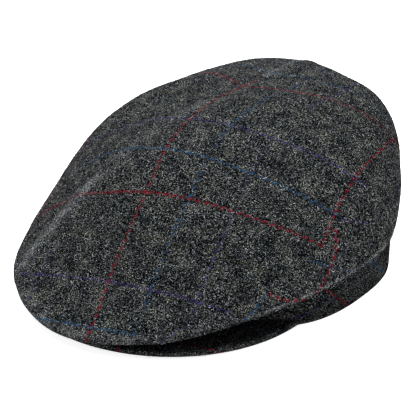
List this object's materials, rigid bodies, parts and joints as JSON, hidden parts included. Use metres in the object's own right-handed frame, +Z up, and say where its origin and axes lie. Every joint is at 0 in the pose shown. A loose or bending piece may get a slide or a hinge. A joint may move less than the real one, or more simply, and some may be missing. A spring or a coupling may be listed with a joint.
{
  "type": "flat cap",
  "caption": "Soft low cap of checked tweed with a stiff front peak, a wide top panel, side panels that fold over a set-in band, and an open head hollow.",
  "frame": {"origin": "centre of the bounding box on the surface that the cap lies on", "axes": "+Z up, -Y towards the peak, +X towards the wearer's left"},
  "size_m": [0.2251, 0.2751, 0.098],
  "materials": {
    "tweed": "matt heathered wool twill with a fine red, blue, purple and olive overcheck"
  },
  "bodies": {
    "root": {"top_panel": "tweed", "side_panel_left": "tweed", "side_panel_right": "tweed", "band": "tweed", "peak": "tweed"}
  },
  "joints": []
}
